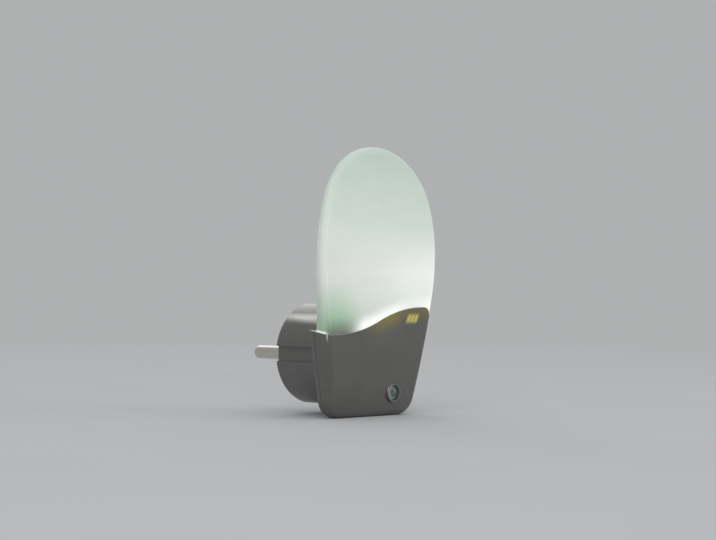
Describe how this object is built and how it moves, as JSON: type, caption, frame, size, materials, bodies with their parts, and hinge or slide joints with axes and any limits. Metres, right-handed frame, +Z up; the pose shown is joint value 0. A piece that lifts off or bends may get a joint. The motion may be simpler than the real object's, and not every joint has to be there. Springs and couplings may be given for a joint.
{
  "type": "plug-in night light",
  "caption": "Plug-in night light: a tall frosted diffuser rising from a satin metallic housing with a wavy edge, a round light-sensor window and a round pin plug at the back.",
  "frame": {"origin": "middle of the plug's contact face, midway between the pins", "axes": "+Z up, the front faces -Y, +Y is the direction in which the plug enters the socket, +X to the right seen from the front"},
  "size_m": [0.0572, 0.0548, 0.0943],
  "materials": {
    "housing": "satin dark silver metallic lacquer",
    "diffuser": "frosted translucent white, lit from inside",
    "bezel": "satin silver lacquer",
    "window": "clear, slightly smoky",
    "photoresistor": "coated ceramic disc",
    "board": "green solder mask",
    "light_board": "white solder mask",
    "led": "yellow phosphor",
    "wire_red": "insulated wire",
    "wire_brown": "insulated wire",
    "wire_blue": "insulated wire",
    "pin": "nickel plated",
    "steel": "zinc plated",
    "film_capacitor": "moulded box",
    "smoothing_capacitor": "sleeved can",
    "black_part": "moulded",
    "varistor": "dipped coating",
    "fusible_resistor": "coated tube",
    "resistor": "coated tube",
    "diode": "glass tube",
    "solder": "bright solder"
  },
  "bodies": {
    "root": {"front_housing": "housing", "rear_housing": "housing", "diffuser_front": "diffuser", "diffuser_back": "diffuser", "sensor_bezel": "bezel", "sensor_window": "window", "photoresistor": "photoresistor", "main_board": "board", "led_board": "light_board", "led_chips": "led", "led_wires": "wire_red", "plug_pin_left": "pin", "plug_pin_right": "pin", "pin_washers": "steel", "live_wire": "wire_brown", "neutral_wire": "wire_blue", "board_screws": "steel", "case_screws": "steel", "film_capacitor": "film_capacitor", "smoothing_capacitor": "smoothing_capacitor", "bridge_rectifier": "black_part", "varistor": "varistor", "fusible_resistor": "fusible_resistor", "bleed_resistor": "resistor", "bias_resistor": "resistor", "zener_diode": "diode", "transistor": "black_part", "solder_joints": "solder"}
  },
  "joints": []
}
